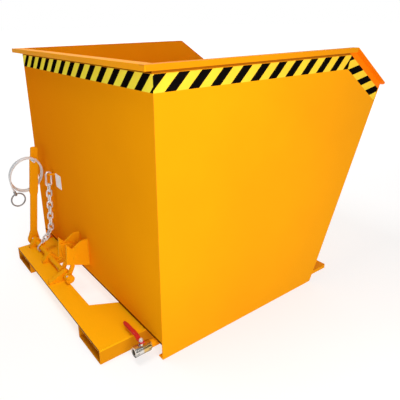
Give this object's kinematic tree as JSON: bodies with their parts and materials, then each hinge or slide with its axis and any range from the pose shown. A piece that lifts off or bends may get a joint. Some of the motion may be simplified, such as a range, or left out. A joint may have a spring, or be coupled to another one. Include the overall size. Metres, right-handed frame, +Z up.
{
  "type": "tipping hopper",
  "caption": "Forklift tipping hopper: sheet-steel bin with a pouring lip hinged on a fork-pocket base, with a latch lever, pull cable, safety chain and drain valve.",
  "frame": {"origin": "on the ground under the middle of the overall box", "axes": "+X forward toward the pouring lip, +Y to the left seen from behind, +Z up"},
  "size_m": [1.2898, 1.124, 0.958],
  "materials": {
    "orange_paint": "gloss",
    "zinc_steel": "bright zinc plate",
    "black_rubber": "matte",
    "brass": "satin",
    "nickel_plate": "nickel plated",
    "white_plastic": "satin",
    "red_plastic": "gloss"
  },
  "bodies": {
    "base": {"fork_pocket_left": "orange_paint", "fork_pocket_right": "orange_paint", "rear_cross_plate": "orange_paint", "front_cross_beam": "orange_paint", "front_foot_plate": "orange_paint", "rest_pads": "black_rubber", "hinge_cheeks_left": "orange_paint", "hinge_cheeks_right": "orange_paint", "hinge_pin_left": "zinc_steel", "hinge_pin_right": "zinc_steel", "hinge_pin_cotters": "zinc_steel", "shaft_bearings": "orange_paint", "latch_bearing": "orange_paint"},
    "hopper": {"side_panel_left": "orange_paint", "side_panel_right": "orange_paint", "rear_wall": "orange_paint", "floor_sheet": "orange_paint", "front_sheet": "orange_paint", "rim_rear": "orange_paint", "rim_left": "orange_paint", "rim_right": "orange_paint", "rim_chamfer_left": "orange_paint", "rim_chamfer_right": "orange_paint", "hinge_lug_left": "orange_paint", "hinge_lug_right": "orange_paint", "hinge_bush_left": "brass", "hinge_bush_right": "brass", "striker_cheeks": "orange_paint", "striker_pin": "orange_paint", "chain_eye": "orange_paint", "drain_sump": "orange_paint", "strainer_plate": "zinc_steel", "drain_pipe": "orange_paint", "valve_nipple": "brass", "valve_body": "nickel_plate", "valve_seats": "white_plastic"},
    "latch": {"latch_shaft": "orange_paint", "shaft_collars": "orange_paint", "release_lever": "orange_paint", "latch_hooks": "orange_paint", "cable_clamp": "zinc_steel", "cable_peg": "zinc_steel", "release_cable": "white_plastic", "cable_ferrule": "zinc_steel", "pull_ring": "zinc_steel"},
    "valve": {"valve_ball": "nickel_plate", "valve_stem": "zinc_steel", "valve_handle": "red_plastic", "handle_nut": "zinc_steel"},
    "chain": {"snap_hook": "zinc_steel", "safety_chain": "zinc_steel", "chain_end_hook": "zinc_steel"},
    "gate": {"snap_hook_gate": "zinc_steel"}
  },
  "joints": [
    {"name": "hopper_tip", "type": "hinge", "parent": "base", "child": "hopper", "pos_m": [0.35805, 0, 0.045], "axis": [0, 1, 0], "range_deg": [0, 90]},
    {"name": "latch_release", "type": "hinge", "parent": "base", "child": "latch", "pos_m": [-0.56495, 0, 0.076], "axis": [0, -1, 0], "range_deg": [0, 35]},
    {"name": "valve_turn", "type": "hinge", "parent": "hopper", "child": "valve", "pos_m": [-0.52095, -0.487, 0.04], "axis": [0, 0, 1], "range_deg": [0, 90]},
    {"name": "chain_swing", "type": "hinge", "parent": "hopper", "child": "chain", "pos_m": [-0.49195, 0.325, 0.42311], "axis": [0, 1, 0], "range_deg": [0, 75]},
    {"name": "gate_swing", "type": "hinge", "parent": "chain", "child": "gate", "pos_m": [-0.50662, 0.325, 0.38534], "axis": [0, 1, 0], "range_deg": [0, 20], "stiffness_Nm_per_rad": 0.02, "springref_deg": -11.46}
  ]
}
